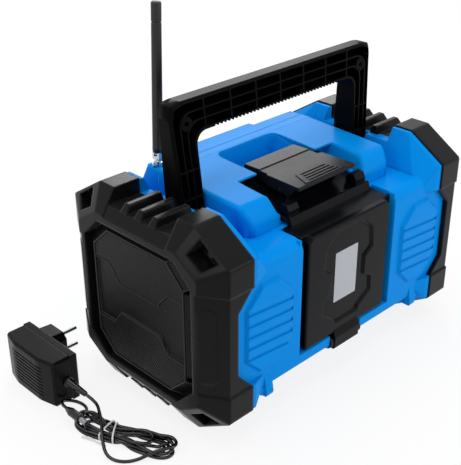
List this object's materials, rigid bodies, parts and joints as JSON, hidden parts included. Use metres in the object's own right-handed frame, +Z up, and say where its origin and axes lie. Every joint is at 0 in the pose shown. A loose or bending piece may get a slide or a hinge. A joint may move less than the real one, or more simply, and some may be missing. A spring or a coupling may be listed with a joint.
{
  "type": "jobsite radio",
  "caption": "Rugged jobsite radio with end bumpers, carrying handle, hinged battery door with a rocker latch, folding antenna and a mains adaptor on a cord.",
  "frame": {"origin": "on the floor under the middle of the radio, at the bottom centre of its bounding box without the adaptor and cord", "axes": "+X along the radio with the antenna at the -X end, +Y out of the control side, -Y out of the battery side, +Z up"},
  "size_m": [0.4324, 0.2339, 0.356],
  "materials": {
    "blue_plastic": "fine moulded grain",
    "black_plastic": "fine moulded grain",
    "bumper_rubber": "matt overmoulded rubber",
    "grille_steel": "perforated, black powder coat",
    "screw_steel": "zinc plated",
    "speaker_basket": "pressed steel, black",
    "speaker_paper": "pressed pulp cone",
    "magnet": "ferrite",
    "seal": "foam seal",
    "label_silver": "blank satin foil",
    "terminal_brass": "plated blades",
    "window": "smoked window",
    "display": "liquid crystal module",
    "board": "circuit board",
    "control_rubber": "soft touch",
    "antenna_metal": "plated",
    "antenna_rubber": "flexible sleeve",
    "adaptor_plastic": "black",
    "pin_metal": "nickel plated",
    "cord_pvc": "flexible sheath",
    "tie_pvc": "white twist tie"
  },
  "bodies": {
    "radio": {"housing_rear": "blue_plastic", "housing_front": "blue_plastic", "handle": "black_plastic", "door_hinge_bracket": "black_plastic", "control_panel": "black_plastic", "battery_bay": "black_plastic", "battery_rails": "black_plastic", "terminal_block": "black_plastic", "dc_jack": "black_plastic", "volume_encoder": "black_plastic", "bumper_left": "bumper_rubber", "bumper_right": "bumper_rubber", "grille_left": "grille_steel", "grille_right": "grille_steel", "bumper_screws_left": "screw_steel", "bumper_screws_right": "screw_steel", "speaker_screws_left": "screw_steel", "speaker_screws_right": "screw_steel", "handle_screws": "screw_steel", "door_hinge_pin": "screw_steel", "speaker_frame_left": "speaker_basket", "speaker_frame_right": "speaker_basket", "speaker_cone_left": "speaker_paper", "speaker_cone_right": "speaker_paper", "speaker_magnet_left": "magnet", "speaker_magnet_right": "magnet", "battery_terminals": "terminal_brass", "display_window": "window", "display_module": "display", "main_board": "board", "antenna_socket": "antenna_metal", "adaptor_case": "adaptor_plastic", "adaptor_back": "adaptor_plastic", "adaptor_pins": "pin_metal", "dc_plug_barrel": "pin_metal", "adaptor_strain_relief": "cord_pvc", "cord_lead": "cord_pvc", "cord_hank": "cord_pvc", "cord_tail": "cord_pvc", "dc_plug": "cord_pvc", "cord_tie": "tie_pvc"},
    "door": {"battery_door": "black_plastic", "door_seal": "seal", "rating_plate": "label_silver", "latch_pin": "screw_steel"},
    "latch": {"door_latch": "black_plastic"},
    "antenna_base": {"antenna_knuckle": "antenna_metal", "antenna_hinge_pin": "screw_steel"},
    "antenna": {"antenna_mast": "antenna_rubber", "antenna_cap": "antenna_rubber"},
    "volume_knob": {"volume_knob": "control_rubber"},
    "jack_cover": {"jack_cover": "black_plastic"},
    "button_power": {"button_power": "control_rubber"},
    "button_preset_1": {"button_preset_1": "control_rubber"},
    "button_preset_2": {"button_preset_2": "control_rubber"},
    "button_preset_3": {"button_preset_3": "control_rubber"},
    "button_tune_down": {"button_tune_down": "control_rubber"},
    "button_tune_up": {"button_tune_up": "control_rubber"}
  },
  "joints": [
    {"name": "door_hinge", "type": "hinge", "parent": "radio", "child": "door", "pos_m": [0, -0.0934, 0.04], "axis": [1, 0, 0], "range_deg": [0, 100]},
    {"name": "latch_pivot", "type": "hinge", "parent": "door", "child": "latch", "pos_m": [0, -0.042, 0.194], "axis": [1, 0, 0], "range_deg": [0, 18], "stiffness_Nm_per_rad": 0.2, "springref_deg": -11.46},
    {"name": "antenna_swivel", "type": "hinge", "parent": "radio", "child": "antenna_base", "pos_m": [-0.097, 0.062, 0.206], "axis": [0, 0, 1], "range_deg": [-90, 90]},
    {"name": "antenna_tilt", "type": "hinge", "parent": "antenna_base", "child": "antenna", "pos_m": [-0.097, 0.062, 0.211], "axis": [0, 1, 0], "range_deg": [0, 88]},
    {"name": "volume_turn", "type": "hinge", "parent": "radio", "child": "volume_knob", "pos_m": [0.048, 0.098, 0.132], "axis": [0, 1, 0], "continuous": true},
    {"name": "jack_cover_hinge", "type": "hinge", "parent": "radio", "child": "jack_cover", "pos_m": [0, 0.0998, 0.0615], "axis": [-1, 0, 0], "range_deg": [0, 110]},
    {"name": "button_power_press", "type": "slide", "parent": "radio", "child": "button_power", "axis": [0, -1, 0], "range_m": [0, 0.001], "stiffness_N_per_m": 300, "springref_m": -0.001},
    {"name": "button_preset_1_press", "type": "slide", "parent": "radio", "child": "button_preset_1", "axis": [0, -1, 0], "range_m": [0, 0.001], "stiffness_N_per_m": 300, "springref_m": -0.001},
    {"name": "button_preset_2_press", "type": "slide", "parent": "radio", "child": "button_preset_2", "axis": [0, -1, 0], "range_m": [0, 0.001], "stiffness_N_per_m": 300, "springref_m": -0.001},
    {"name": "button_preset_3_press", "type": "slide", "parent": "radio", "child": "button_preset_3", "axis": [0, -1, 0], "range_m": [0, 0.001], "stiffness_N_per_m": 300, "springref_m": -0.001},
    {"name": "button_tune_down_press", "type": "slide", "parent": "radio", "child": "button_tune_down", "axis": [0, -1, 0], "range_m": [0, 0.001], "stiffness_N_per_m": 300, "springref_m": -0.001},
    {"name": "button_tune_up_press", "type": "slide", "parent": "radio", "child": "button_tune_up", "axis": [0, -1, 0], "range_m": [0, 0.001], "stiffness_N_per_m": 300, "springref_m": -0.001}
  ]
}
